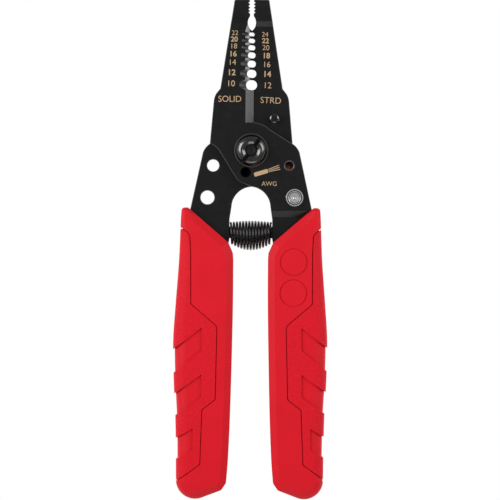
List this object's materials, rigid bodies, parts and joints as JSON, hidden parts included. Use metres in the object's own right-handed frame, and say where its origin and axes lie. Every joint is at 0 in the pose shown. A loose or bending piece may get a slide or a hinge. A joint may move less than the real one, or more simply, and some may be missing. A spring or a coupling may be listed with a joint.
{
  "type": "wire stripper",
  "caption": "Plier-style wire stripper and cutter with lapped steel jaws, stripping holes, serrated nose, return spring, closing lock and moulded grips.",
  "frame": {"origin": "bottom centre of the closed tool's box, on the plane through the backs of the grips", "axes": "+Y from the grips to the nose, +Z out of the front face, +X to the right seen from the front"},
  "size_m": [0.056, 0.181, 0.014],
  "materials": {
    "blade_steel": "black oxide steel, satin, with ground cutting edges",
    "grip_smooth": "smooth moulded red grip",
    "grip_textured": "finely stippled moulded red grip",
    "dark_hardware": "black oxide turned steel",
    "polished_hardware": "polished black oxide nut",
    "nickel": "bright nickel plate",
    "spring_steel": "blackened spring wire",
    "bronze_steel": "bronze-brown plated steel",
    "black_plastic": "moulded black plastic"
  },
  "bodies": {
    "front_half": {"front_blade": "blade_steel", "front_grip": "grip_smooth", "front_grip_overlay": "grip_textured", "front_spring_stud": "dark_hardware", "pivot_bolt": "dark_hardware", "pivot_washer": "dark_hardware", "pivot_nut": "polished_hardware", "wave_washer": "nickel", "return_spring": "spring_steel", "lock_rivet": "nickel", "lock_spacer": "nickel", "lock_washer": "nickel"},
    "rear_half": {"rear_blade": "blade_steel", "rear_grip": "grip_smooth", "rear_grip_overlay": "grip_textured", "rear_spring_stud": "dark_hardware", "stop_pin": "dark_hardware"},
    "lock": {"lock_lever": "bronze_steel", "lock_thumb_pad": "black_plastic"}
  },
  "joints": [
    {"name": "handle_pivot", "type": "hinge", "parent": "front_half", "child": "rear_half", "pos_m": [0, 0.0358, 0.007], "axis": [0, 0, -1], "range_deg": [-1.3, 30], "deforming": ["return_spring"]},
    {"name": "lock_pivot", "type": "hinge", "parent": "front_half", "child": "lock", "pos_m": [0.0158, 0.01875, 0.003], "axis": [0, 0, -1], "range_deg": [0, 8]}
  ]
}
